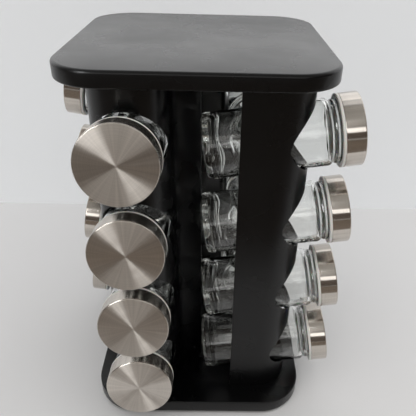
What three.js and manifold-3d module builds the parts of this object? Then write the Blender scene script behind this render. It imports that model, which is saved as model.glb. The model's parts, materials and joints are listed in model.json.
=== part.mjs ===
// Spice carousel: sixteen glass jars held by four upright columns on a turntable.
// Millimetres, +Z up. The origin is on the turning axis, on the surface that the carousel stands on.
// The front is -Y. The four columns are the same, a quarter turn apart.
import * as THREE from 'three';
import { mergeVertices } from 'three/addons/utils/BufferGeometryUtils.js';
import Module from 'manifold-3d';

const wasm = await Module();
wasm.setup();

// ---- driving dimensions ----
const HEIGHT = 283; // floor to the top of the top plate
const GAP = 0.3; // clearance between touching pieces
const OVERCUT = 5; // how far a cutting shape runs past the face that it opens

const TOP = { side: 168, corner: 31, thick: 10.3, skin: 3, wall: 2.6, edge: 2.2 };
const BASE = { side: 170, corner: 33, top: 13.7, bottom: 2.6, skin: 3, wall: 2.6, edge: 1.2 };

const COLUMN = {
  offset: 42.3, // sideways distance from the turning axis to the jar line
  reach: 73.5, // turning axis to the outermost point of the rounded nose
  halfWidth: 25.4, // also the radius of the nose
  wall: 1.8,
  outerEnd: 26, // free edge of the straight wall, from the turning axis
  tip: [0.7, -31.7], // free edge of the slanted wall, which stops the next column's jars
};
// The bend from the nose into the slanted wall, measured from the inner end of the nose.
const BEND = { start: [0, 1], corner: [0, 5], end: [5, 7.8], steps: 2 };
const HOLE = { radius: 23.4, depth: 40, outerEnd: 16 }; // depths along the jar, from the lid face

const ROWS = 4;
const ROW_PITCH = 60.7;
const LOWEST_ROW = 55.2; // height of the lowest lid's face centre
const TILT = THREE.MathUtils.degToRad(8.5); // lids higher than jar bottoms
const LID_REACH = 103.8; // turning axis to the lid face centres

const JAR = {
  radius: 22.1, heel: 3, wall: 2.2, floor: 6.5,
  body: 80.2, shoulder: 82.0, lip: 98.6, neck: 20.3, mouth: 17.2,
};
const LID = { face: 101, skirt: 12.5, radius: 24, sheet: 0.6, edge: 1.0 };
const LINER = { rim: 1.7, rimRadius: 24.1, sleeve: 23.1, bore: 21.2, disc: 1.2 };

const FOOT = { radius: 72, bottom: 1.0, top: 4.5, pivotHole: 3.3, recess: 7, recessTop: 2.6 };
const SLIP_RING = { inner: 56, outer: 67, top: 1.6 };
const GLIDE_RING = { inner: 50, outer: 62 };
const BOSS = { radius: 9, bottom: 5.9, bore: 2.3, boreTop: 10.2, rooted: 1 };
const SCREW = { head: 6.2, headTop: 2.2, shoulder: 2.9, thread: 2.0, top: 9.8 };
const WASHER = { inner: 3.2, outer: 8, thick: 0.7 };

// How finely the curves are cut into flats.
const ROUND = 12; // sides of the jars and lids
const HOLE_ROUND = 20; // sides of the column holes
const RING_ROUND = 28; // sides of the turntable rings
const PIVOT_ROUND = 20; // sides of the boss, screw and washer
const NOSE_STEPS = 10; // flats round a column's nose
const CORNER_STEPS = 5; // flats round a plate's corner
const EDGE_STEPS = 2; // flats over a plate's rounded edge

// ---- materials ----
const finish = (color, roughness, metalness, more = {}) =>
  new THREE.MeshStandardMaterial({ color, roughness, metalness, ...more });
const blackPlastic = () => finish(0x1b1b1d, 0.38, 0);
const steel = () => finish(0xb4b0ab, 0.3, 1);
const glass = () => finish(0xdfe6e0, 0.05, 0, { transparent: true, opacity: 0.35 });
const whitePlastic = () => finish(0xe9e9e6, 0.45, 0);
const rubber = () => finish(0x202022, 0.9, 0);
const palePlastic = () => finish(0xd8d8d2, 0.4, 0);

// ---- booleans ----
function solid(geometry) {
  const bare = geometry.clone();
  for (const name of ['normal', 'uv']) bare.deleteAttribute(name);
  const welded = mergeVertices(bare, 1e-4);
  return new wasm.Manifold(new wasm.Mesh({
    numProp: 3,
    vertProperties: new Float32Array(welded.attributes.position.array),
    triVerts: new Uint32Array(welded.index.array),
  }));
}

function geometryOf(body) {
  const mesh = body.getMesh();
  const geometry = new THREE.BufferGeometry();
  geometry.setAttribute('position', new THREE.BufferAttribute(mesh.vertProperties, 3));
  geometry.setIndex(new THREE.BufferAttribute(mesh.triVerts, 1));
  return geometry;
}

// ---- shapes shared by several pieces ----
function roundedSquare(side, corner) {
  const h = side / 2;
  const c = h - corner;
  const shape = new THREE.Shape();
  shape.absarc(c, -c, corner, -Math.PI / 2, 0);
  shape.absarc(c, c, corner, 0, Math.PI / 2);
  shape.absarc(-c, c, corner, Math.PI / 2, Math.PI);
  shape.absarc(-c, -c, corner, Math.PI, 1.5 * Math.PI);
  return shape;
}

// A rounded-square slab from z = bottom to z = top, with its upper and lower edges rounded.
function slab(side, corner, bottom, top, edge) {
  const shape = roundedSquare(side - 2 * edge, corner - edge);
  const geometry = new THREE.ExtrudeGeometry(shape, {
    depth: top - bottom - 2 * edge,
    curveSegments: CORNER_STEPS,
    bevelEnabled: edge > 0,
    bevelThickness: edge,
    bevelSize: edge,
    bevelSegments: EDGE_STEPS,
  });
  return geometry.translate(0, 0, bottom + edge);
}

// A turned piece about Z. Each point of the profile is [radius, height].
function turned(profile, sides) {
  const points = profile.map(([radius, height]) => new THREE.Vector2(radius, height));
  return new THREE.LatheGeometry(points, sides).rotateX(Math.PI / 2);
}

function ring(inner, outer, bottom, top, sides = RING_ROUND) {
  return turned([[inner, bottom], [outer, bottom], [outer, top], [inner, top], [inner, bottom]], sides);
}

function disc(radius, bottom, top, sides = RING_ROUND) {
  return turned([[0, bottom], [radius, bottom], [radius, top], [0, top]], sides);
}

// ---- plates ----
function topPlate() {
  const underside = HEIGHT - TOP.thick;
  const outer = solid(slab(TOP.side, TOP.corner, underside, HEIGHT, TOP.edge));
  const side = TOP.side - 2 * TOP.wall;
  const hollow = slab(side, TOP.corner - TOP.wall, underside - OVERCUT, HEIGHT - TOP.skin, 0);
  return geometryOf(outer.subtract(solid(hollow)));
}

function basePlate() {
  const ceiling = BASE.top - BASE.skin;
  const outer = solid(slab(BASE.side, BASE.corner, BASE.bottom, BASE.top, BASE.edge));
  const side = BASE.side - 2 * BASE.wall;
  const hollow = slab(side, BASE.corner - BASE.wall, BASE.bottom - OVERCUT, ceiling, 0);
  const boss = solid(disc(BOSS.radius, BOSS.bottom, ceiling + BOSS.rooted, PIVOT_ROUND));
  const bore = solid(disc(BOSS.bore, BOSS.bottom - OVERCUT, BOSS.boreTop, PIVOT_ROUND));
  return geometryOf(outer.subtract(solid(hollow)).add(boss).subtract(bore));
}

// ---- columns ----
// Middle line of the column's bent sheet: straight outer wall, rounded nose, slanted inner wall.
function columnLine() {
  const { offset, reach, halfWidth, wall, outerEnd, tip } = COLUMN;
  const radius = halfWidth - wall / 2;
  const noseY = halfWidth - reach;
  const line = [new THREE.Vector2(-offset - radius, -outerEnd)];
  for (let i = 0; i <= NOSE_STEPS; i++) {
    const angle = Math.PI + (Math.PI * i) / NOSE_STEPS;
    line.push(new THREE.Vector2(-offset + radius * Math.cos(angle), noseY + radius * Math.sin(angle)));
  }
  const [start, corner, end] = [BEND.start, BEND.corner, BEND.end].map(
    ([x, y]) => new THREE.Vector2(radius - offset + x, noseY + y),
  );
  line.push(...new THREE.QuadraticBezierCurve(start, corner, end).getPoints(BEND.steps));
  line.push(new THREE.Vector2(...tip));
  return line;
}

// A strip of even thickness around a middle line.
function strip(line, thickness) {
  const sides = [[], []];
  line.forEach((point, i) => {
    const before = point.clone().sub(line[Math.max(i - 1, 0)]).normalize();
    const after = line[Math.min(i + 1, line.length - 1)].clone().sub(point).normalize();
    const along = before.clone().add(after).normalize();
    const straight = i > 0 && i < line.length - 1 ? along.dot(after) : 1;
    const across = new THREE.Vector2(-along.y, along.x).multiplyScalar(thickness / 2 / straight);
    sides[0].push(point.clone().add(across));
    sides[1].unshift(point.clone().sub(across));
  });
  return new THREE.Shape([...sides[0], ...sides[1]]);
}

function columnSheet() {
  const bottom = BASE.top + GAP;
  const top = HEIGHT - TOP.skin - GAP;
  const sheet = new THREE.ExtrudeGeometry(strip(columnLine(), COLUMN.wall), {
    depth: top - bottom,
    bevelEnabled: false,
  });
  let body = solid(sheet.translate(0, 0, bottom));
  for (let row = 0; row < ROWS; row++) {
    const outerEnd = LID.face - HOLE.outerEnd;
    const drill = disc(HOLE.radius, outerEnd - HOLE.depth, outerEnd, HOLE_ROUND);
    body = body.subtract(solid(drill.applyMatrix4(jarPlace(row))));
  }
  return geometryOf(body);
}

// ---- jars, in a frame with the jar's bottom centre at the origin and its lid towards +Z ----
function jarGlass() {
  const { radius, heel, wall, floor, body, shoulder, lip, neck, mouth } = JAR;
  const inside = radius - wall;
  return turned([
    [0, 0], [radius - heel, 0], [radius, heel], [radius, body], [neck, shoulder], [neck, lip],
    [mouth, lip], [mouth, shoulder], [inside, body - wall / 2], [inside, floor], [0, floor],
  ], ROUND);
}

function lidShell() {
  const { face, skirt, radius, sheet, edge } = LID;
  return turned([
    [0, face - sheet], [radius - sheet, face - sheet], [radius - sheet, face - skirt],
    [radius, face - skirt], [radius, face - edge], [radius - edge, face], [0, face],
  ], ROUND);
}

function lidLiner() {
  const bottom = LID.face - LID.skirt - GAP - LINER.rim;
  const shelf = LID.face - LID.skirt - GAP;
  const top = LID.face - LID.sheet - GAP;
  return turned([
    [0, top - LINER.disc], [LINER.bore, top - LINER.disc], [LINER.bore, bottom], [LINER.rimRadius, bottom],
    [LINER.rimRadius, shelf], [LINER.sleeve, shelf], [LINER.sleeve, top], [0, top],
  ], ROUND);
}

// Where the jar of one row of the front column lies.
function jarPlace(row) {
  const height = LOWEST_ROW + (ROWS - 1 - row) * ROW_PITCH;
  const face = new THREE.Vector3(-COLUMN.offset, -LID_REACH, height);
  const outward = new THREE.Vector3(0, -Math.cos(TILT), Math.sin(TILT));
  const bottom = face.addScaledVector(outward, -LID.face);
  return new THREE.Matrix4().makeRotationX(Math.PI / 2 - TILT).setPosition(bottom);
}

// ---- turntable ----
function footDisc() {
  const plate = solid(disc(FOOT.radius, FOOT.bottom, FOOT.top));
  const { inner, outer, top } = SLIP_RING;
  const groove = solid(ring(inner - GAP, outer + GAP, -OVERCUT, top + GAP));
  const hole = solid(disc(FOOT.pivotHole, -OVERCUT, FOOT.top + OVERCUT, PIVOT_ROUND));
  const recess = solid(disc(FOOT.recess, -OVERCUT, FOOT.recessTop, PIVOT_ROUND));
  return geometryOf(plate.subtract(groove).subtract(hole).subtract(recess));
}

function glideRing() {
  return ring(GLIDE_RING.inner, GLIDE_RING.outer, FOOT.top + GAP, BASE.top - BASE.skin - GAP);
}

function pivotScrew() {
  const { head, headTop, shoulder, thread, top } = SCREW;
  const neck = BOSS.bottom - GAP;
  return turned([
    [0, FOOT.bottom + GAP], [head, FOOT.bottom + GAP], [head, headTop], [shoulder, headTop],
    [shoulder, neck], [thread, neck], [thread, top], [0, top],
  ], PIVOT_ROUND);
}

function pivotWasher() {
  const bottom = FOOT.top + GAP;
  return ring(WASHER.inner, WASHER.outer, bottom, bottom + WASHER.thick, PIVOT_ROUND);
}

// ---- assembly ----
const carousel = new THREE.Group();

function place(name, geometry, material, parent = carousel) {
  const mesh = new THREE.Mesh(geometry, material);
  mesh.name = name;
  parent.add(mesh);
  return mesh;
}

place('anti_slip_ring', ring(SLIP_RING.inner, SLIP_RING.outer, 0, SLIP_RING.top), rubber());
place('foot_disc', footDisc(), blackPlastic());
place('glide_ring', glideRing(), palePlastic());
place('pivot_screw', pivotScrew(), steel());
place('pivot_washer', pivotWasher(), palePlastic());
place('base_plate', basePlate(), blackPlastic());
place('top_plate', topPlate(), blackPlastic());

const sheet = columnSheet();
const glassShape = jarGlass();
const shellShape = lidShell();
const linerShape = lidLiner();

['front', 'right', 'back', 'left'].forEach((side, quarter) => {
  const group = new THREE.Group();
  group.rotation.z = (quarter * Math.PI) / 2;
  carousel.add(group);
  place(`column_${side}`, sheet, blackPlastic(), group);
  for (let row = 0; row < ROWS; row++) {
    const holder = new THREE.Group();
    holder.applyMatrix4(jarPlace(row));
    group.add(holder);
    place(`jar_${side}_${row + 1}`, glassShape, glass(), holder);
    place(`lid_liner_${side}_${row + 1}`, linerShape, whitePlastic(), holder);
    place(`lid_${side}_${row + 1}`, shellShape, steel(), holder);
  }
});

export default carousel;
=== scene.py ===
"""Spice carousel: sixteen glass jars with spun steel lids, in a black moulded tower on a turntable.

Metres, +Z up, front towards -Y. The four sides are the same, a quarter turn apart.
"""
import json
import math

import bmesh
import bpy
from bpy.props import (
    FloatProperty,
    FloatVectorProperty,
    IntProperty,
    PointerProperty,
)
from mathutils import Matrix, Vector


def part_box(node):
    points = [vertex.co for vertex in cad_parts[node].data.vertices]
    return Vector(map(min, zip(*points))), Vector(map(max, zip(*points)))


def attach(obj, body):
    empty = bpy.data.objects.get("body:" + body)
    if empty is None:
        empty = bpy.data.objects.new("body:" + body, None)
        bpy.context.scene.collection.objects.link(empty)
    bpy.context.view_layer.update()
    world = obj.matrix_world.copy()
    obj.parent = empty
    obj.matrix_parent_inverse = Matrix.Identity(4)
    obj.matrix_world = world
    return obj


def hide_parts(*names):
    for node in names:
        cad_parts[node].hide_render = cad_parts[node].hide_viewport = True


bl_info = {
    "name": "Spice Carousel",
    "version": (1, 0, 0),
    "blender": (4, 5, 0),
    "location": "3D View > Sidebar > Carousel",
    "description": "Builds a revolving spice carousel with sixteen lidded glass jars",
    "category": "Add Mesh",
}

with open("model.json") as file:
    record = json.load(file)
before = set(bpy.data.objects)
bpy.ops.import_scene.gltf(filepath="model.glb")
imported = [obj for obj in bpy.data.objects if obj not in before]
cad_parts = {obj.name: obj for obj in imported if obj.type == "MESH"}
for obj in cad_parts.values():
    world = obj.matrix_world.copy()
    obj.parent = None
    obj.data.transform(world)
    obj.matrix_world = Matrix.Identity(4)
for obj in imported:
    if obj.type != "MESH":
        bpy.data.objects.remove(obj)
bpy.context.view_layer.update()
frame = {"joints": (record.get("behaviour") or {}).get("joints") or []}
JOINTS = {joint["name"]: joint for joint in frame["joints"]}

MM = 0.001
SIDES = ("front", "right", "back", "left")
ROWS = (1, 2, 3, 4)
FLAT_JOIN = 32  # degrees; edges sharper than this stay crisp
LID_STEPS = 128  # round a lid
LINER_STEPS = 96  # round a liner
RING_STEPS = 160  # round the foot and its rings
PIVOT_STEPS = 64  # round the screw and washer
NECK_STEPS = 40  # up a jar's neck
JAR_TURN, LID_TURN = 67, 41  # degrees that each jar or lid is turned past the one before


def linear(hex_colour, alpha=None):
    """An sRGB hex colour as linear light."""
    value = hex_colour.lstrip("#")
    parts = [int(value[i : i + 2], 16) / 255 for i in (0, 2, 4)]
    light = [c / 12.92 if c <= 0.04045 else ((c + 0.055) / 1.055) ** 2.4 for c in parts]
    return tuple(light) if alpha is None else (*light, alpha)


# ---- sizes and colours ----


def length(name, millimetres, description):
    """A length property, with its default given in millimetres."""
    return FloatProperty(
        name=name, description=description, default=millimetres * MM, unit="LENGTH", precision=5
    )


def colour(name, hex_colour, description):
    """A colour property, with its default given as sRGB hex."""
    return FloatVectorProperty(
        name=name, description=description, default=linear(hex_colour), subtype="COLOR", min=0, max=1
    )


class CAROUSEL_PG_plates(bpy.types.PropertyGroup):
    """The top and base trays."""

    top_corner: length("Top corner", 31, "Corner radius of the top tray")
    base_corner: length("Base corner", 33, "Corner radius of the base tray")
    wall: length("Wall", 2.6, "Thickness of the turned-down walls")
    skin: length("Skin", 3, "Thickness of the flat faces")
    top_edge: length("Top edge", 2.2, "Rounding of the top tray's edges")
    base_edge: length("Base edge", 1.2, "Rounding of the base tray's edges")
    boss: length("Boss", 9, "Radius of the screw boss under the base tray")
    bore: length("Bore", 2.3, "Radius of the screw hole in the boss")
    plastic: colour("Plastic", "#040405", "Black moulded ABS")


class CAROUSEL_PG_columns(bpy.types.PropertyGroup):
    """The four bent sheets that hold the jars."""

    wall: length("Wall", 1.8, "Thickness of the sheet")
    half_width: length("Half width", 25.4, "Outer radius of the rounded nose")
    outer_end: length("Outer end", 26, "Free edge of the straight wall, from the turning axis")
    tip_x: length("Tip X", 0.7, "Free edge of the slanted wall, sideways")
    tip_y: length("Tip Y", -31.7, "Free edge of the slanted wall, in depth")
    hole: length("Hole", 23.4, "Radius of the jar holes")
    drop: length("Hole drop", 6.5, "How far a hole's middle lies below its lid's middle")
    rounding: length("Rounding", 0.2, "Rounding of the cut and free edges")


class CAROUSEL_PG_jars(bpy.types.PropertyGroup):
    """The glass jars."""

    radius: length("Radius", 22.1, "Outer radius of the body")
    wall: length("Wall", 2.2, "Thickness of the glass wall")
    floor: length("Floor", 6.5, "Thickness of the glass bottom")
    body: length("Body", 80.2, "Height of the straight body")
    shoulder: length("Shoulder", 82.0, "Height where the shoulder meets the neck")
    lip: length("Lip", 98.6, "Height of the lip")
    neck: length("Neck", 20.3, "Outer radius of the neck")
    mouth: length("Mouth", 17.2, "Radius of the mouth")
    pitch: length("Thread pitch", 3.4, "Rise of the screw thread in one turn")
    thread_start: length("Thread start", 5, "Shoulder to the start of the screw thread")
    ridge: length("Thread height", 0.45, "How far the screw thread stands out of the neck")
    ridge_width: length("Ridge width", 0.9, "Half width of the thread and of the bead under it")
    bead: length("Bead", 2.2, "Shoulder to the bead that the jar is carried by while it is hot")
    bead_share: FloatProperty(
        name="Bead share", description="Bead height as a share of the thread's", default=1.6
    )
    swell: length("Swell", 0.12, "Unevenness of the inside of the wall")
    floor_swell: length("Floor swell", 0.5, "Added unevenness close to the bottom")
    swell_fade: length("Swell fade", 6, "Height in which the added unevenness dies away")
    punt: length("Punt", 16.5, "Radius of the hollow under the bottom")
    punt_depth: length("Punt depth", 0.9, "Depth of the hollow under the bottom")
    sides: IntProperty(name="Sides", description="Steps round a jar", default=128, min=24)
    tint: colour("Tint", "#fbfcfb", "Soda-lime glass")


class CAROUSEL_PG_lids(bpy.types.PropertyGroup):
    """The spun steel lids and their plastic liners."""

    face: length("Face", 101, "Jar bottom to the outside of the lid")
    skirt: length("Skirt", 12.5, "Depth of the lid's side")
    radius: length("Radius", 24, "Outer radius of the lid")
    sheet: length("Sheet", 0.6, "Thickness of the steel")
    edge: length("Edge", 1.0, "Rounding between face and side")
    rim: length("Liner rim", 1.7, "Depth of the liner rim under the steel")
    rim_radius: length("Liner radius", 24.1, "Outer radius of the liner rim")
    sleeve: length("Liner sleeve", 23.1, "Outer radius of the liner inside the steel")
    bore: length("Liner bore", 21.2, "Inner radius of the liner")
    disc: length("Liner disc", 1.2, "Thickness of the liner's sealing disc")
    steel: colour("Steel", "#cdc6be", "Spun stainless steel")
    plastic: colour("Liner plastic", "#efeee9", "White polypropylene")


class CAROUSEL_PG_turntable(bpy.types.PropertyGroup):
    """The parts under the base tray."""

    foot: length("Foot radius", 72, "Outer radius of the foot disc")
    pivot_hole: length("Pivot hole", 3.3, "Radius of the hole for the screw's shoulder")
    recess: length("Recess", 7, "Radius of the recess for the screw's head")
    recess_depth: length("Recess depth", 1.3, "Underside of the screw's head to the recess's ceiling")
    grip_inner: length("Grip inner", 56, "Inner radius of the anti-slip ring")
    slide_inner: length("Slide inner", 50, "Inner radius of the glide ring")
    washer_inner: length("Washer inner", 3.2, "Inner radius of the washer")
    head: length("Screw head", 6.2, "Radius of the screw's head")
    head_depth: length("Screw head depth", 0.9, "Thickness of the screw's head")
    shank: length("Screw shoulder", 2.9, "Radius of the screw's smooth shoulder")
    thread: length("Screw thread", 2.0, "Radius of the screw's threaded end")
    groove_inner: length("Groove inner", 55.7, "Inner radius of the anti-slip ring's groove")
    groove_outer: length("Groove outer", 67.3, "Outer radius of the anti-slip ring's groove")
    rubber: colour("Rubber", "#202022", "Anti-slip ring")
    pale: colour("Acetal", "#d9d8cf", "Glide ring and washer")
    screw: colour("Zinc", "#b3b2ac", "Pivot screw")


class CAROUSEL_PG_stage(bpy.types.PropertyGroup):
    """Floor, backdrop, lights and camera."""

    floor: colour("Floor", "#dfdfe0", "Table top")
    backdrop: colour("Backdrop", "#dadcde", "Wall behind the table")
    backdrop_y: length("Backdrop distance", 245, "Turning axis to the backdrop")
    glow: FloatProperty(name="Backdrop glow", description="Light from the backdrop itself", default=0.36)
    low_room: colour("Low room", "#605852", "Room near the horizon and below")
    high_room: colour("High room", "#aaa8a4", "Ceiling")
    card: colour("Card", "#756a60", "Dark sheet that only reflections see")
    camera: FloatVectorProperty(
        name="Camera", description="Camera position", default=(0.0115, -0.3354, 0.3555), subtype="TRANSLATION"
    )
    heading: FloatProperty(name="Heading", description="Turn towards +X", default=0.0245, subtype="ANGLE")
    pitch: FloatProperty(name="Pitch", description="Downward tilt", default=0.5571, subtype="ANGLE")
    roll: FloatProperty(name="Roll", description="Turn about the view axis", default=0.0295, subtype="ANGLE")
    lens: FloatProperty(name="Lens", description="Focal length", default=41.63, unit="CAMERA")
    shift_x: FloatProperty(name="Shift X", description="Sideways shift of the frame", default=-0.0413)
    shift_y: FloatProperty(name="Shift Y", description="Upward shift of the frame", default=0.0046)


# ---- node materials ----


def add(tree, kind, inputs=None, **settings):
    """Adds a node. Settings are its own values; inputs are socket values or links from other sockets."""
    node = tree.nodes.new("ShaderNode" + kind)
    for key, value in settings.items():
        setattr(node, key, value)
    for key, value in (inputs or {}).items():
        if isinstance(value, bpy.types.NodeSocket):
            tree.links.new(value, node.inputs[key])
        else:
            node.inputs[key].default_value = value
    return node


def shade(rgb, share):
    """A colour made lighter or darker by a share."""
    return (*(min(c * share, 1) for c in rgb), 1)


def moulded_abs(tree, rgb):
    """Black ABS from a textured mould: a satin skin whose grain breaks up the highlights."""
    place = add(tree, "TexCoord").outputs["Object"]
    # Spark-eroded grain is about 0.1 mm; it is drawn coarser so that it shows.
    grain = add(tree, "TexNoise", {"Vector": place, "Scale": 1 / (0.7 * MM), "Detail": 2}).outputs["Fac"]
    # Uneven gloss from handling and wiping.
    patches = add(tree, "TexNoise", {"Vector": place, "Scale": 1 / (38 * MM), "Detail": 3}).outputs["Fac"]
    # Long fine rub marks.
    drawn = add(tree, "Mapping", {"Vector": place, "Rotation": (0, 0, 0.5), "Scale": (1, 14, 3)}).outputs[0]
    rubs = add(tree, "TexNoise", {"Vector": drawn, "Scale": 1 / (9 * MM), "Detail": 4}).outputs["Fac"]
    marks = add(
        tree, "MapRange", {"Value": rubs, "From Min": 0.62, "From Max": 0.72, "To Max": 0.3}
    ).outputs[0]
    level = add(tree, "MapRange", {"Value": patches, "From Min": 0.3, "From Max": 0.7}).outputs[0]
    skin = add(tree, "Mix", {"Factor": level, "A": shade(rgb, 0.85), "B": shade(rgb, 1.2)}, data_type="RGBA")
    tone = add(
        tree, "Mix", {"Factor": marks, "A": skin.outputs["Result"], "B": shade(rgb, 3)}, data_type="RGBA"
    )
    gloss = add(tree, "MapRange", {"Value": level, "To Min": 0.24, "To Max": 0.32}).outputs[0]
    bump = add(tree, "Bump", {"Height": grain, "Strength": 0.25, "Distance": 0.05 * MM}).outputs[0]
    return add(
        tree,
        "BsdfPrincipled",
        {
            "Base Color": tone.outputs["Result"],
            "Roughness": gloss,
            "Normal": bump,
            "IOR": 1.54,
            "Specular IOR Level": 0.3,
        },
    )


def pressed_glass(tree, rgb):
    """Clear pressed soda-lime glass: sharp reflections and slow waves from the mould."""
    place = add(tree, "TexCoord").outputs["Object"]
    # Chill waves where the gob met the cold mould.
    waves = add(tree, "TexNoise", {"Vector": place, "Scale": 1 / (13 * MM), "Detail": 1}).outputs["Fac"]
    # The thin film that handling leaves.
    film = add(tree, "TexNoise", {"Vector": place, "Scale": 1 / (24 * MM), "Detail": 4}).outputs["Fac"]
    haze = add(
        tree, "MapRange", {"Value": film, "From Min": 0.4, "From Max": 0.75, "To Max": 0.04}
    ).outputs[0]
    bump = add(tree, "Bump", {"Height": waves, "Strength": 0.5, "Distance": 0.5 * MM}).outputs[0]
    return add(
        tree,
        "BsdfPrincipled",
        {
            "Base Color": shade(rgb, 1),
            "Roughness": haze,
            "IOR": 1.52,
            "Transmission Weight": 1.0,
            "Normal": bump,
        },
    )


def iron_tint(tree):
    """Iron in the sand greens the thick parts of the glass."""
    return add(tree, "VolumeAbsorption", {"Color": linear("#edf0df", 1), "Density": 5.0})


def spun_steel(tree, rgb):
    """Stainless steel brushed while spinning: fine rings round the axis that pull each light into a fan."""
    place = add(tree, "TexCoord").outputs["Object"]
    parts = add(tree, "SeparateXYZ", {"Vector": place}).outputs
    flat = add(tree, "CombineXYZ", {"X": parts["X"], "Y": parts["Y"]}).outputs[0]
    radius = add(tree, "VectorMath", {0: flat}, operation="LENGTH").outputs["Value"]
    rings = add(tree, "CombineXYZ", {"X": radius, "Y": parts["Z"]}).outputs[0]
    # A 240 grit belt leaves rings 0.06 mm apart; they are drawn coarser so that they show.
    fine = add(tree, "TexNoise", {"Vector": rings, "Scale": 1 / (0.5 * MM), "Detail": 3}).outputs["Fac"]
    # Broader rings where the belt lingered.
    bands = add(tree, "TexNoise", {"Vector": rings, "Scale": 1 / (2.5 * MM), "Detail": 2}).outputs["Fac"]
    # Finger marks.
    smears = add(tree, "TexNoise", {"Vector": place, "Scale": 1 / (14 * MM), "Detail": 2}).outputs["Fac"]
    # Streaks by angle round the axis: partly strokes that reach only part of the way round, partly a painted
    # fan highlight in the colour that stands in for the glint the rings pull out of each light.
    direction = add(tree, "VectorMath", {0: flat}, operation="NORMALIZE").outputs[0]
    painted_fan_and_strokes = add(tree, "TexNoise", {"Vector": direction, "Scale": 9, "Detail": 3}).outputs["Fac"]
    rings_and_painted_fan = add(tree, "Math", {0: fine, 1: painted_fan_and_strokes}, operation="ADD").outputs[0]
    level = add(tree, "MapRange", {"Value": rings_and_painted_fan, "From Min": 0.7, "From Max": 1.3}).outputs[0]
    # Colour lighter and darker with the fine rings and the painted fan highlight.
    tone = add(tree, "Mix", {"Factor": level, "A": shade(rgb, 0.84), "B": shade(rgb, 1.12)}, data_type="RGBA")
    worn = add(tree, "Math", {0: bands, 1: smears}, operation="ADD").outputs[0]
    brushed = add(
        tree, "MapRange", {"Value": worn, "From Min": 0.7, "From Max": 1.3, "To Min": 0.34, "To Max": 0.42}
    ).outputs[0]
    # The side is drawn over a die, so it is smoother than the brushed face.
    drawn = add(
        tree,
        "MapRange",
        {"Value": radius, "From Min": 23.3 * MM, "From Max": 23.8 * MM, "To Min": 1, "To Max": 0.5},
    ).outputs[0]
    rough = add(tree, "Math", {0: brushed, 1: drawn}, operation="MULTIPLY").outputs[0]
    bump = add(tree, "Bump", {"Height": bands, "Strength": 0.1, "Distance": 0.02 * MM}).outputs[0]
    round_axis = add(tree, "Tangent", direction_type="RADIAL", axis="Z").outputs[0]
    return add(
        tree,
        "BsdfPrincipled",
        {
            "Base Color": tone.outputs["Result"],
            "Metallic": 1.0,
            "Roughness": rough,
            "Anisotropic": 1.0,
            "Anisotropic Rotation": 0.25,
            "Normal": bump,
            "Tangent": round_axis,
        },
    )


def moulded_polymer(tree, rgb, rough, grain_size, depth=0.0):
    """An injection-moulded part in a plain colour: soft gloss over a very fine skin."""
    place = add(tree, "TexCoord").outputs["Object"]
    grain = add(tree, "TexNoise", {"Vector": place, "Scale": 1 / grain_size, "Detail": 2}).outputs["Fac"]
    patches = add(tree, "TexNoise", {"Vector": place, "Scale": 1 / (9 * MM), "Detail": 3}).outputs["Fac"]
    tone = add(
        tree, "Mix", {"Factor": patches, "A": shade(rgb, 0.94), "B": shade(rgb, 1.03)}, data_type="RGBA"
    )
    gloss = add(
        tree, "MapRange", {"Value": patches, "To Min": rough - 0.08, "To Max": rough + 0.08}
    ).outputs[0]
    bump = add(tree, "Bump", {"Height": grain, "Strength": 0.2, "Distance": 0.04 * MM}).outputs[0]
    return add(
        tree,
        "BsdfPrincipled",
        {
            "Base Color": tone.outputs["Result"],
            "Roughness": gloss,
            "IOR": 1.49,
            "Subsurface Weight": depth,
            "Subsurface Scale": 0.6 * MM,
            "Normal": bump,
        },
    )


def zinc_plate(tree, rgb):
    """Bright zinc plate on steel: a grey metal with a faint crystalline mottle."""
    place = add(tree, "TexCoord").outputs["Object"]
    mottle = add(tree, "TexNoise", {"Vector": place, "Scale": 1 / (0.9 * MM), "Detail": 3}).outputs["Fac"]
    tone = add(tree, "Mix", {"Factor": mottle, "A": shade(rgb, 0.8), "B": shade(rgb, 1.1)}, data_type="RGBA")
    gloss = add(tree, "MapRange", {"Value": mottle, "To Min": 0.2, "To Max": 0.42}).outputs[0]
    bump = add(tree, "Bump", {"Height": mottle, "Strength": 0.2, "Distance": 0.02 * MM}).outputs[0]
    return add(
        tree,
        "BsdfPrincipled",
        {"Base Color": tone.outputs["Result"], "Metallic": 1.0, "Roughness": gloss, "Normal": bump},
    )


def painted(tree, rgb, rough, glow=0.0):
    """A plain matt stage surface, lit a little from within if it glows."""
    place = add(tree, "TexCoord").outputs["Object"]
    patches = add(tree, "TexNoise", {"Vector": place, "Scale": 2, "Detail": 2}).outputs["Fac"]
    tone = add(
        tree, "Mix", {"Factor": patches, "A": shade(rgb, 0.97), "B": shade(rgb, 1.03)}, data_type="RGBA"
    )
    return add(
        tree,
        "BsdfPrincipled",
        {
            "Base Color": tone.outputs["Result"],
            "Roughness": rough,
            "Emission Color": shade(rgb, 1),
            "Emission Strength": glow,
        },
    )


def backdrop_paint(tree, rgb, rough, glow):
    """Paint on a backdrop that isn't there when it is seen from behind."""
    front = painted(tree, rgb, rough, glow).outputs[0]
    behind = add(tree, "NewGeometry").outputs["Backfacing"]
    clear = add(tree, "BsdfTransparent").outputs[0]
    return add(tree, "MixShader", {0: behind, 1: front, 2: clear})


def finish(name, surface, *settings, inside=None):
    """The material called name, made the first time that it is asked for."""
    material = bpy.data.materials.get(name)
    if not material:
        material = bpy.data.materials.new(name)
        material.use_nodes = True
        tree = material.node_tree
        tree.nodes.clear()
        links = {"Surface": surface(tree, *settings).outputs[0]}
        if inside:
            links["Volume"] = inside(tree).outputs[0]
        add(tree, "OutputMaterial", links)
    return material


# ---- mesh tools ----


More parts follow.
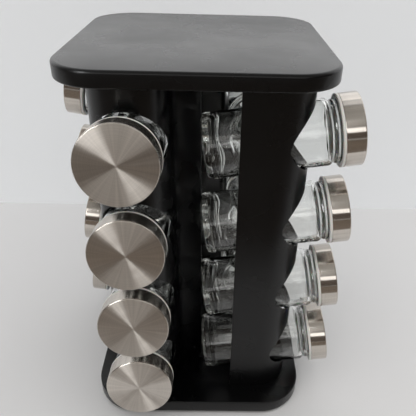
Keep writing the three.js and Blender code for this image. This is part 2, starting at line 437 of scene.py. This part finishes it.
def build_mesh(name, points, faces, crisp=FLAT_JOIN):
    """A welded mesh with outward faces, smooth apart from its crisp edges."""
    mesh = bpy.data.meshes.new(name)
    mesh.from_pydata(points, [], faces)
    work = bmesh.new()
    work.from_mesh(mesh)
    bmesh.ops.remove_doubles(work, verts=work.verts, dist=1e-7)
    bmesh.ops.recalc_face_normals(work, faces=work.faces)
    work.to_mesh(mesh)
    work.free()
    mesh.polygons.foreach_set("use_smooth", [True] * len(mesh.polygons))
    mesh.set_sharp_from_angle(angle=math.radians(crisp))
    return mesh


def put(name, data):
    """A new object in the scene."""
    thing = bpy.data.objects.new(name, data)
    bpy.context.scene.collection.objects.link(thing)
    return thing


def add_piece(name, mesh, material, body, nodes, place=None):
    """Puts a mesh in the scene as a piece that rides on a body and stands for its CAD nodes."""
    if not mesh.materials:
        mesh.materials.append(material)
    piece = put(name, mesh)
    piece.matrix_world = place or Matrix.Identity(4)
    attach(piece, body)
    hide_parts(*nodes)
    return piece


def rounded(corners, closed=False, steps=4):
    """A profile from (radius, height, rounding) corners in metres, each rounding drawn as an arc."""
    profile = []
    count = len(corners)
    for i, (r, z, rounding) in enumerate(corners):
        here = Vector((r, z))
        if rounding <= 0 or (not closed and i in (0, count - 1)):
            profile.append(here)
            continue
        back = Vector(corners[i - 1][:2]) - here
        ahead = Vector(corners[(i + 1) % count][:2]) - here
        half = back.angle(ahead) / 2
        reach = min(rounding / math.tan(half), 0.48 * back.length, 0.48 * ahead.length)
        start, end = here + back.normalized() * reach, here + ahead.normalized() * reach
        centre = here + (back.normalized() + ahead.normalized()).normalized() * reach / math.cos(half)
        first, last = (start - centre).normalized(), (end - centre).normalized()
        for k in range(steps + 1):
            profile.append(centre + first.slerp(last, k / steps) * (start - centre).length)
    return profile


def lathe(profile, sides, closed=False, shift=None):
    """Points and faces of a profile turned about Z. shift(angle, r, z) may move a point in or out."""
    points, faces, rows = [], [], []
    for r, z in profile:
        if r < 1e-9:
            rows.append([len(points)] * sides)
            points.append((0, 0, z))
            continue
        rows.append(list(range(len(points), len(points) + sides)))
        for k in range(sides):
            angle = math.tau * k / sides
            out = r + shift(angle, r, z) if shift else r
            points.append((out * math.cos(angle), out * math.sin(angle), z))
    pairs = list(zip(rows, rows[1:] + rows[:1])) if closed else list(zip(rows, rows[1:]))
    for low, high in pairs:
        for k in range(sides):
            n = (k + 1) % sides
            face = list(dict.fromkeys((low[k], low[n], high[n], high[k])))
            if len(face) > 2:
                faces.append(face)
    return points, faces


def square_reach(half, corner, angle):
    """Distance from the centre to the outline of a rounded square, in one direction."""
    x, y = sorted((abs(math.cos(angle)), abs(math.sin(angle))), reverse=True)
    if half / x * y <= half - corner:
        return half / x
    centre = Vector((half - corner, half - corner))
    along = Vector((x, y)).dot(centre)
    return along + math.sqrt(max(along * along - centre.length_squared + corner * corner, 0))


def squared(rings, sides=192):
    """Points and faces through (half side, corner radius, height) rings, closed at both ends."""
    points, faces, rows = [], [], []
    for half, corner, z in rings:
        rows.append(list(range(len(points), len(points) + sides)))
        for k in range(sides):
            angle = math.tau * (k + 0.5) / sides
            reach = square_reach(half, corner, angle)
            points.append((reach * math.cos(angle), reach * math.sin(angle), z))
    for low, high in zip(rows, rows[1:]):
        for k in range(sides):
            n = (k + 1) % sides
            faces.append((low[k], low[n], high[n], high[k]))
    return points, [rows[0][::-1], *faces, rows[-1]]


def tray_rings(side, corner, ceiling, bottom, top, wall, edge):
    """Rings of a hollow tray, from the hollow's ceiling round its rim to the middle of the outer face."""
    half = side / 2
    fillet, rim, lower_edge = 1.5 * MM, 0.3 * MM, 0.7 * edge
    profile = rounded(
        [
            (0.3 * half, ceiling, 0),
            (half - wall, ceiling, fillet),
            (half - wall, bottom, rim),
            (half, bottom, lower_edge),
            (half, top, edge),
            (0.6 * half, top, 0),
        ],
        steps=6,
    )
    rings = []
    for reach, z in profile:
        rings.append((reach, max(corner - (half - reach), 0.25 * reach), z))
    return rings


# ---- pieces ----


def jar_place(side, row):
    """Where a jar lies: its bottom centre, with its own +Z towards the lid."""
    hinge = JOINTS[f"lid_turn_{side}_{row}"]
    out = Vector(hinge["axis"]).normalized()
    across = Vector((0, 0, 1)).cross(out).normalized()
    up = out.cross(across)
    bottom = Vector(hinge["pos_m"]) - out * bpy.context.scene.carousel_lids.face
    place = Matrix((across, up, out)).transposed().to_4x4()
    place.translation = bottom
    return place


def own_turn(side, row, step):
    """A jar or lid's own turn about its axis, so that no two sit alike."""
    return Matrix.Rotation(math.radians(step * (SIDES.index(side) * len(ROWS) + row)), 4, "Z")


class CAROUSEL_OT_top_tray(bpy.types.Operator):
    """Builds the hollow top tray"""

    bl_idname = "carousel.top_tray"
    bl_label = "Top tray"

    def execute(self, context):
        s = context.scene.carousel_plates
        low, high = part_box("top_plate")
        rings = tray_rings(
            high.x - low.x, s.top_corner, high.z - s.skin, low.z, high.z, s.wall, s.top_edge
        )
        mesh = build_mesh("top_tray", *squared(rings))
        material = finish("moulded_abs_black", moulded_abs, s.plastic)
        add_piece("top_tray", mesh, material, "tower", ["top_plate"])
        return {"FINISHED"}


class CAROUSEL_OT_base_tray(bpy.types.Operator):
    """Builds the base tray with the screw boss in its hollow"""

    bl_idname = "carousel.base_tray"
    bl_label = "Base tray"

    def execute(self, context):
        s = context.scene.carousel_plates
        low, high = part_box("base_plate")
        clearance = 0.4 * MM
        screw_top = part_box("pivot_screw")[1].z + clearance
        boss_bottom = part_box("pivot_washer")[1].z + clearance
        ceiling = high.z - s.skin
        rings = tray_rings(high.x - low.x, s.base_corner, ceiling, low.z, high.z, s.wall, s.base_edge)
        boss = rounded(
            [
                (0.5 * s.bore, screw_top, 0),
                (s.bore, screw_top, 0.2 * MM),
                (s.bore, boss_bottom, 0.3 * MM),
                (s.boss, boss_bottom, 0.4 * MM),
                (s.boss, ceiling, 0.6 * MM),
                (1.6 * s.boss, ceiling, 0),
            ],
            steps=3,
        )
        rings = [(r, r, z) for r, z in boss] + rings
        mesh = build_mesh("base_tray", *squared(rings))
        material = finish("moulded_abs_black", moulded_abs, s.plastic)
        add_piece("base_tray", mesh, material, "tower", ["base_plate"])
        return {"FINISHED"}


class ColumnSheet:
    """The bent sheet of the front column.

    A place on it is a distance along its middle line and one off it.
    """

    STEPS = 128  # round a jar hole
    LAYERS = 9  # between a hole and the edge of its patch
    CROWDING = 1.4  # draws the layers towards the hole
    MARGIN = 3 * MM  # of the patches past the rounded nose
    LIFT = 0.02 * MM  # of the lower edge off the base tray
    BEND = ((0, 1 * MM), (0, 5 * MM), (5 * MM, 7.8 * MM))  # from the inner end of the nose
    BEND_STEPS = 12
    BEND_REACH = 12 * MM  # length of the closely divided stretch after the nose
    STRETCH_STEPS = (4, 14, 3)  # along the straight wall, the bend and the slanted wall
    LIP = (0, 0.4, 0.8, 1.2, math.pi / 2)  # angles round a rounded edge

    def __init__(self, settings):
        s = settings
        self.wall, self.hole, self.edge, self.drop = s.wall, s.hole, s.rounding, s.drop
        low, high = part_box("column_front")
        self.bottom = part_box("base_plate")[1].z + self.LIFT
        self.top = high.z
        self.hinges = [JOINTS[f"lid_turn_front_{row}"] for row in ROWS]
        self.centre_x = self.hinges[0]["pos_m"][0]
        self.radius = s.half_width - s.wall / 2
        self.nose_y = low.y + s.half_width
        self.nose_length = math.pi * self.radius
        self.start = s.outer_end + self.nose_y
        self.tail = self.tail_line(Vector((s.tip_x, s.tip_y)))
        self.end = self.nose_length + self.tail[-1][0]

    def tail_line(self, tip):
        """The bend after the nose and the slanted wall, as (distance, point, outward direction)."""
        first = Vector((self.centre_x + self.radius, self.nose_y))
        a, b, c = (first + Vector(offset) for offset in self.BEND)
        points = [first]
        for k in range(self.BEND_STEPS + 1):
            t = k / self.BEND_STEPS
            points.append(a * (1 - t) ** 2 + b * 2 * t * (1 - t) + c * t * t)
        points.append(tip)
        line, reached = [], 0.0
        for i, point in enumerate(points):
            ahead = points[min(i + 1, len(points) - 1)] - points[max(i - 1, 0)]
            if i == len(points) - 1:
                ahead = points[i] - points[i - 1]
            if i == 0:
                ahead = Vector((0, 1))
            if i:
                reached += (point - points[i - 1]).length
            ahead.normalize()
            line.append((reached, point, Vector((ahead.y, -ahead.x))))
        return line

    def at(self, s, off, z):
        """The point at a distance s along the middle line, off it by off, at height z."""
        if s <= 0:
            return (self.centre_x - self.radius - off, self.nose_y - s, z)
        if s <= self.nose_length:
            angle = math.pi + s / self.radius
            reach = self.radius + off
            return (self.centre_x + reach * math.cos(angle), self.nose_y + reach * math.sin(angle), z)
        s -= self.nose_length
        for (s0, p0, n0), (s1, p1, n1) in zip(self.tail, self.tail[1:]):
            if s <= s1 or s1 == self.tail[-1][0]:
                t = (s - s0) / (s1 - s0)
                point = p0.lerp(p1, t) + n0.lerp(n1, min(max(t, 0), 1)).normalized() * off
                return (point.x, point.y, z)

    @staticmethod
    def divided(first, last, steps):
        """Even steps from one distance to another, both included."""
        return [first + (last - first) * k / steps for k in range(steps + 1)]

    def cut(self, hinge, angle, radius, off):
        """Where a hole of this radius meets the sheet at a depth, as (s, z)."""
        reach = self.radius + off
        across = max(min(radius * math.cos(angle) / reach, 0.9995), -0.9995)
        turn = math.acos(across)
        y = self.nose_y - reach * math.sin(turn)
        _, face_y, face_z = hinge["pos_m"]
        _, out_y, out_z = Vector(hinge["axis"]).normalized()
        z = face_z + (radius * math.sin(angle) - (y - face_y) * out_z) / -out_y
        return self.radius * (math.pi - turn), z

    def build(self):
        """Points and faces of the whole sheet."""
        points, faces = [], []

        def quads(rows, loop=False):
            """Faces between rows of points."""
            first = len(points)
            wide = len(rows[0])
            for row in rows:
                points.extend(row)
            for i in range(len(rows) - 1):
                for k in range(wide if loop else wide - 1):
                    n = (k + 1) % wide
                    a, b = first + i * wide, first + (i + 1) * wide
                    faces.append((a + k, a + n, b + n, b + k))

        half, edge = self.wall / 2, self.edge
        centre_s = self.nose_length / 2
        reach_s = centre_s + self.MARGIN
        pitch = self.hinges[0]["pos_m"][2] - self.hinges[1]["pos_m"][2]
        turns = [math.tau * k / self.STEPS for k in range(self.STEPS)]
        eighth = self.STEPS // 8
        side_steps = [math.tan(math.tau * k / self.STEPS) for k in range(-eighth, eighth + 1)]
        nose_s = [centre_s + reach_s * t for t in side_steps]
        rows_z = []
        for hinge in reversed(self.hinges):
            middle = hinge["pos_m"][2] - self.drop
            rows_z += [middle + pitch / 2 * t for t in side_steps[(1 if rows_z else 0) :]]
        all_z = [self.bottom, *rows_z, self.top]
        wall_steps, bend_steps, slant_steps = self.STRETCH_STEPS
        bend_end = self.nose_length + self.BEND_REACH
        wall_s = self.divided(self.start + edge, nose_s[0], wall_steps)
        tail_s = self.divided(nose_s[-1], bend_end, bend_steps)
        tail_s += self.divided(bend_end, self.end - edge, slant_steps)[1:]

        for off in (half, -half):
            for stretch in (wall_s, tail_s):
                quads([[self.at(s, off, z) for s in stretch] for z in all_z])
            for pair in ((self.bottom, rows_z[0]), (rows_z[-1], self.top)):
                quads([[self.at(s, off, z) for s in nose_s] for z in pair])
            for hinge in self.hinges:
                middle = hinge["pos_m"][2] - self.drop
                layers = []
                for j in range(self.LAYERS + 1):
                    share = (j / self.LAYERS) ** self.CROWDING
                    ring = []
                    for angle in turns:
                        s, z = self.cut(hinge, angle, self.hole + edge, off)
                        cx, cz = math.cos(angle), math.sin(angle)
                        big = max(abs(cx), abs(cz))
                        rim_s, rim_z = centre_s + reach_s * cx / big, middle + pitch / 2 * cz / big
                        ring.append(self.at(s + (rim_s - s) * share, off, z + (rim_z - z) * share))
                    layers.append(ring)
                quads(layers, loop=True)

        lip = [(edge * (1 - math.sin(a)), half - edge * (1 - math.cos(a))) for a in self.LIP]
        through = lip + [(more, -off) for more, off in reversed(lip)]
        for hinge in self.hinges:
            rings = []
            for more, off in through:
                ring = []
                for angle in turns:
                    s, z = self.cut(hinge, angle, self.hole + more, off)
                    ring.append(self.at(s, off, z))
                rings.append(ring)
            quads(rings, loop=True)

        for s_end, towards in ((self.start, 1), (self.end, -1)):
            quads([[self.at(s_end + towards * more, off, z) for more, off in through] for z in all_z])
            for z in (self.bottom, self.top):
                first = len(points)
                points.extend(self.at(s_end + towards * more, off, z) for more, off in through)
                faces.append(tuple(range(first, first + len(through))))
        for z in (self.bottom, self.top):
            for stretch in (wall_s, nose_s, tail_s):
                quads([[self.at(s, off, z) for s in stretch] for off in (half, -half)])
        return points, faces


class CAROUSEL_OT_columns(bpy.types.Operator):
    """Builds the four columns with their tilted jar holes"""

    bl_idname = "carousel.columns"
    bl_label = "Columns"

    def execute(self, context):
        mesh = build_mesh("column_sheet", *ColumnSheet(context.scene.carousel_columns).build(), crisp=50)
        material = finish("moulded_abs_black", moulded_abs, context.scene.carousel_plates.plastic)
        for quarter, side in enumerate(SIDES):
            place = Matrix.Rotation(quarter * math.pi / 2, 4, "Z")
            add_piece(f"sheet_{side}", mesh, material, "tower", [f"column_{side}"], place)
        return {"FINISHED"}


class CAROUSEL_OT_jars(bpy.types.Operator):
    """Builds the sixteen glass jars with their screw necks"""

    bl_idname = "carousel.jars"
    bl_label = "Jars"

    def execute(self, context):
        s = context.scene.carousel_jars
        inner = s.radius - s.wall
        floor_edge, slack = 9.5 * MM, 0.1 * MM
        neck = s.lip - s.shoulder
        neck_rows = [(s.neck, s.shoulder + neck * k / NECK_STEPS, 0) for k in range(4, NECK_STEPS - 3)]
        profile = rounded(
            [
                (0, s.punt_depth, 0),
                (12 * MM, 0.6 * MM, 6 * MM),
                (s.punt, 0, 1.5 * MM),
                (s.radius - 1.2 * MM, 0, 2.4 * MM),
                (s.radius, 3.2 * MM, 2.2 * MM),
                (s.radius, 0.5 * s.body, 0),
                (s.radius, s.body, 4 * MM),
                (s.neck, s.shoulder, 2.2 * MM),
                *neck_rows,
                (s.neck, s.lip, 0.9 * MM),
                (s.mouth, s.lip, 0.9 * MM),
                (s.mouth, s.shoulder + 1 * MM, 4 * MM),
                (inner, s.body - 1.5 * MM, 4 * MM),
                (inner, 0.5 * s.body, 0),
                (inner, s.floor, 4.5 * MM),
                (9 * MM, s.floor - 0.5 * MM, 3 * MM),
                (0, s.floor - 0.7 * MM, 0),
            ],
            steps=6,
        )

        def shift(angle, r, z):
            """The screw thread outside, and the slow unevenness of pressed glass inside."""
            if z > s.shoulder + 0.6 * MM and r > (s.neck + s.mouth) / 2:
                gap = (z - s.shoulder - s.bead) / s.ridge_width
                rise = s.bead_share * math.exp(-gap * gap)
                for turn in (0, 1):
                    height = s.shoulder + s.thread_start + s.pitch * (turn + angle / math.tau)
                    gap = (z - height) / s.ridge_width
                    rise = max(rise, math.exp(-gap * gap))
                return s.ridge * rise
            if floor_edge < r <= inner + slack and s.floor - slack <= z < s.body:
                swell = s.swell + s.floor_swell * math.exp((s.floor - z) / s.swell_fade)
                return swell * (math.sin(3 * angle + 90 * z) + math.sin(5 * angle - 160 * z))
            return 0.0

        mesh = build_mesh("glass_jar", *lathe(profile, s.sides, shift=shift), crisp=60)
        material = finish("pressed_soda_lime_glass", pressed_glass, s.tint, inside=iron_tint)
        for side in SIDES:
            for row in ROWS:
                place = jar_place(side, row) @ own_turn(side, row, JAR_TURN)
                node = f"jar_{side}_{row}"
                add_piece(f"glass_{side}_{row}", mesh, material, node, [node], place)
        return {"FINISHED"}


class CAROUSEL_OT_lids(bpy.types.Operator):
    """Builds the sixteen spun steel lids"""

    bl_idname = "carousel.lids"
    bl_label = "Steel lids"

    def execute(self, context):
        s = context.scene.carousel_lids
        bottom = s.face - s.skirt
        inside = s.radius - s.sheet
        profile = rounded(
            [
                (0, s.face - s.sheet, 0),
                (inside, s.face - s.sheet, 0.5 * MM),
                (inside, bottom, 0.25 * MM),
                (s.radius, bottom, 0.25 * MM),
                (s.radius, s.face, s.edge),
                (0.5 * s.radius, s.face, 0),
                (0, s.face, 0),
            ],
            steps=6,
        )
        mesh = build_mesh("steel_lid", *lathe(profile, LID_STEPS), crisp=60)
        material = finish("spun_stainless_steel", spun_steel, s.steel)
        for side in SIDES:
            for row in ROWS:
                place = jar_place(side, row) @ own_turn(side, row, LID_TURN)
                body = f"lid_{side}_{row}"
                add_piece(f"cap_{side}_{row}", mesh, material, body, [body], place)
        return {"FINISHED"}


class CAROUSEL_OT_liners(bpy.types.Operator):
    """Builds the sixteen white liners that carry the lids' inner threads"""

    bl_idname = "carousel.liners"
    bl_label = "Lid liners"

    def execute(self, context):
        s = context.scene.carousel_lids
        gap = 0.1 * MM  # keeps the liner off the steel
        shelf = s.face - s.skirt - gap
        bottom = shelf - s.rim - gap
        top = s.face - s.sheet - gap
        profile = rounded(
            [
                (0, top - s.disc, 0),
                (s.bore, top - s.disc, 0.5 * MM),
                (s.bore, bottom, 0.4 * MM),
                (s.rim_radius, bottom, 0.5 * MM),
                (s.rim_radius, shelf, 0.3 * MM),
                (s.sleeve, shelf, 0),
                (s.sleeve, top, 0.6 * MM),
                (0, top, 0),
            ],
            steps=4,
        )
        mesh = build_mesh("lid_liner", *lathe(profile, LINER_STEPS), crisp=50)
        material = finish("moulded_polypropylene_white", moulded_polymer, s.plastic, 0.42, 0.5 * MM, 0.15)
        for side in SIDES:
            for row in ROWS:
                add_piece(
                    f"liner_{side}_{row}", mesh, material, f"lid_{side}_{row}", [f"lid_liner_{side}_{row}"],
                    jar_place(side, row),
                )
        return {"FINISHED"}


def ring_profile(node, inner, rounding):
    """The closed profile of a plain ring that fills a CAD node's box."""
    low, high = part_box(node)
    corners = [(inner, low.z), (high.y, low.z), (high.y, high.z), (inner, high.z)]
    return rounded([(r, z, rounding) for r, z in corners], closed=True)


class CAROUSEL_OT_turntable(bpy.types.Operator):
    """Builds the foot disc, its rings, and the pivot screw and washer"""

    bl_idname = "carousel.turntable"
    bl_label = "Turntable"

    def execute(self, context):
        s = context.scene.carousel_turntable
        low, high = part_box("foot_disc")
        slip_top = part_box("anti_slip_ring")[1].z + 0.2 * MM
        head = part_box("pivot_screw")
        seat = head[0].z + s.recess_depth
        disc = rounded(
            [
                (s.pivot_hole, high.z, 0.3 * MM),
                (s.pivot_hole, seat, 0.2 * MM),
                (s.recess, seat, 0.2 * MM),
                (s.recess, low.z, 0.3 * MM),
                (s.groove_inner, low.z, 0.2 * MM),
                (s.groove_inner, slip_top, 0.2 * MM),
                (s.groove_outer, slip_top, 0.2 * MM),
                (s.groove_outer, low.z, 0.2 * MM),
                (s.foot, low.z, 0.5 * MM),
                (s.foot, high.z, 0.8 * MM),
            ],
            closed=True,
        )
        black = finish("moulded_abs_black", moulded_abs, context.scene.carousel_plates.plastic)
        rubber = finish("thermoplastic_rubber", moulded_polymer, s.rubber, 0.82, 0.6 * MM)
        pale = finish("acetal_natural", moulded_polymer, s.pale, 0.35, 0.4 * MM)
        zinc = finish("zinc_plated_steel", zinc_plate, s.screw)
        mesh = build_mesh("foot_plate", *lathe(disc, RING_STEPS, closed=True))
        add_piece("foot_plate", mesh, black, "foot", ["foot_disc"])
        rings = (
            ("grip_ring", "anti_slip_ring", "foot", "foot_rubber", rubber, s.grip_inner, 0.4, RING_STEPS),
            ("slide_ring", "glide_ring", "foot", "pale_plastic", pale, s.slide_inner, 0.5, RING_STEPS),
            ("thrust_washer", "pivot_washer", "tower", "pale_plastic", pale, s.washer_inner, 0.15, PIVOT_STEPS),
        )
        for name, node, body, slot, material, inner, rounding, steps in rings:
            mesh = build_mesh(name, *lathe(ring_profile(node, inner, rounding * MM), steps, closed=True))
            add_piece(name, mesh, material, body, [node])
        shoulder_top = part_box("pivot_washer")[1].z + 0.1 * MM
        screw = rounded(
            [
                (0, head[0].z, 0),
                (s.head, head[0].z, 0.6 * MM),
                (s.head, head[0].z + s.head_depth, 0.2 * MM),
                (s.shank, head[0].z + s.head_depth, 0.2 * MM),
                (s.shank, shoulder_top, 0.3 * MM),
                (s.thread, shoulder_top, 0.1 * MM),
                (s.thread, head[1].z, 0.5 * MM),
                (0, head[1].z, 0),
            ]
        )
        mesh = build_mesh("shoulder_screw", *lathe(screw, PIVOT_STEPS))
        add_piece("shoulder_screw", mesh, zinc, "tower", ["pivot_screw"])
        return {"FINISHED"}


# ---- stage ----


# Each light: place, aim, size, watts, colour, and the kind of ray that doesn't meet it.
LIGHTS = {
    "overhead": ((0.2, -0.3, 1.5), (0.1, 0.05, 0.1), (2.4, 2.0), 21.5, (1, 0.99, 0.98), "glossy"),
    "window": ((-1.0, -1.0, 0.85), (0, 0, 0.15), (0.22, 0.9), 10, (0.97, 0.99, 1), "diffuse"),
    "strip": ((0.1, -1.3, 0.7), (0, 0, 0.15), (1.6, 0.3), 2.4, (1, 1, 1), "diffuse"),
    "back_softbox": ((0.1, 0.2, 0.5), (0.1, -1, 0.5), (1.6, 0.36), 0.95, (1, 1, 1), "diffuse"),
}
STAGE_HALF = 3.0  # half the width and depth of the table top
BACKDROP_TOP = 2.4
CARD_HALF, CARD_NEAR, CARD_FAR, CARD_HEIGHT = 1.6, -0.24, -1.6, 2 * MM


def area_light(name, place, aim, size, watts, rgb, unseen):
    """A soft rectangular light that the camera doesn't see."""
    data = bpy.data.lights.new(name, "AREA")
    data.shape, data.size, data.size_y = "RECTANGLE", size[0], size[1]
    data.energy, data.color = watts, rgb
    light = put(name, data)
    light.location = place
    light.rotation_euler = (Vector(aim) - Vector(place)).to_track_quat("-Z", "Y").to_euler()
    light.visible_camera = False
    setattr(light, f"visible_{unseen}", False)


class CAROUSEL_OT_stage(bpy.types.Operator):
    """Sets out the table, backdrop, lights and camera"""

    bl_idname = "carousel.stage"
    bl_label = "Stage"

    def execute(self, context):
        s = context.scene.carousel_stage
        context.scene.view_settings.view_transform = "Standard"  # so that a colour shows as it is set
        self.surfaces(s)
        self.room(s)
        for name, light in LIGHTS.items():
            area_light(name, *light)
        self.dark_card(s)
        self.camera(s)
        return {"FINISHED"}

    def surfaces(self, s):
        """A table top, and a backdrop that is only there from the front."""
        half, y = STAGE_HALF, s.backdrop_y
        corners = [(-half, -half, 0), (half, -half, 0), (half, half, 0), (-half, half, 0)]
        floor = build_mesh("table_top", corners, [(0, 1, 2, 3)])
        floor.materials.append(finish("table_laminate", painted, s.floor, 0.55))
        wall = bpy.data.meshes.new("backdrop")  # without build_mesh, because it has to face the front
        corners = [(-half, y, 0), (half, y, 0), (half, y, BACKDROP_TOP), (-half, y, BACKDROP_TOP)]
        wall.from_pydata(corners, [], [(0, 1, 2, 3)])
        wall.materials.append(finish("backdrop_paint", backdrop_paint, s.backdrop, 0.7, s.glow))
        for mesh in (floor, wall):
            put(mesh.name, mesh)

    def room(self, s):
        """A room that is warm and dim low down and pale towards the ceiling."""
        world = bpy.data.worlds.new("room")
        world.use_nodes = True
        tree = world.node_tree
        tree.nodes.clear()
        height = add(tree, "SeparateXYZ", {"Vector": add(tree, "TexCoord").outputs["Generated"]}).outputs["Z"]
        up = add(
            tree,
            "MapRange",
            {"Value": height, "From Min": 0.15, "From Max": 0.65},
            interpolation_type="SMOOTHSTEP",
        ).outputs[0]
        low, high = shade(s.low_room, 1), shade(s.high_room, 1)
        tone = add(tree, "Mix", {"Factor": up, "A": low, "B": high}, data_type="RGBA").outputs["Result"]
        room = add(tree, "Background", {"Color": tone, "Strength": 1.0})
        add(tree, "OutputWorld", {"Surface": room.outputs[0]})
        bpy.context.scene.world = world

    def dark_card(self, s):
        """A dark sheet over the table in front, which gives the steel and black walls their low tones."""
        half, z = CARD_HALF, CARD_HEIGHT
        corners = [(-half, CARD_NEAR, z), (-half, CARD_FAR, z), (half, CARD_FAR, z), (half, CARD_NEAR, z)]
        mesh = build_mesh("dark_card", corners, [(0, 1, 2, 3)])
        mesh.materials.append(finish("dark_card_felt", painted, s.card, 0.9))
        card = put("dark_card", mesh)
        for ray in ("camera", "diffuse", "transmission", "shadow", "volume_scatter"):
            setattr(card, f"visible_{ray}", False)

    def camera(self, s):
        """The camera, turned by its heading, pitch and roll."""
        ahead = Vector(
            (
                math.sin(s.heading) * math.cos(s.pitch),
                math.cos(s.heading) * math.cos(s.pitch),
                -math.sin(s.pitch),
            )
        )
        right = Vector((math.cos(s.heading), -math.sin(s.heading), 0))
        up = right.cross(ahead)
        rolled = right * math.cos(s.roll) + up * math.sin(s.roll)
        upright = up * math.cos(s.roll) - right * math.sin(s.roll)
        data = bpy.data.cameras.new("camera")
        data.lens, data.sensor_width = s.lens, 36
        data.shift_x, data.shift_y = s.shift_x, s.shift_y
        data.clip_start = 0.01
        camera = put("camera", data)
        matrix = Matrix((rolled, upright, -ahead)).transposed().to_4x4()
        matrix.translation = Vector(s.camera)
        camera.matrix_world = matrix
        bpy.context.scene.camera = camera


class CAROUSEL_PT_panel(bpy.types.Panel):
    """Lists the pieces of the carousel"""

    bl_idname = "CAROUSEL_PT_panel"
    bl_label = "Spice Carousel"
    bl_space_type = "VIEW_3D"
    bl_region_type = "UI"
    bl_category = "Carousel"

    def draw(self, context):
        for operator in OPERATORS:
            self.layout.operator(operator.bl_idname)
        for name in SETTINGS:
            group = getattr(context.scene, name)
            box = self.layout.box()
            for key in group.__annotations__:
                box.prop(group, key)


SETTINGS = {
    "carousel_plates": CAROUSEL_PG_plates,
    "carousel_columns": CAROUSEL_PG_columns,
    "carousel_jars": CAROUSEL_PG_jars,
    "carousel_lids": CAROUSEL_PG_lids,
    "carousel_turntable": CAROUSEL_PG_turntable,
    "carousel_stage": CAROUSEL_PG_stage,
}
OPERATORS = (
    CAROUSEL_OT_top_tray,
    CAROUSEL_OT_base_tray,
    CAROUSEL_OT_columns,
    CAROUSEL_OT_jars,
    CAROUSEL_OT_lids,
    CAROUSEL_OT_liners,
    CAROUSEL_OT_turntable,
    CAROUSEL_OT_stage,
)


def register():
    for kind in (*SETTINGS.values(), *OPERATORS, CAROUSEL_PT_panel):
        bpy.utils.register_class(kind)
    for name, kind in SETTINGS.items():
        setattr(bpy.types.Scene, name, PointerProperty(type=kind))


def unregister():
    for name in SETTINGS:
        delattr(bpy.types.Scene, name)
    for kind in (CAROUSEL_PT_panel, *reversed(OPERATORS), *reversed(SETTINGS.values())):
        bpy.utils.unregister_class(kind)


def main():
    register()
    for operator in OPERATORS:
        group, name = operator.bl_idname.split(".")
        getattr(getattr(bpy.ops, group), name)()


if __name__ == "__main__":
    main()
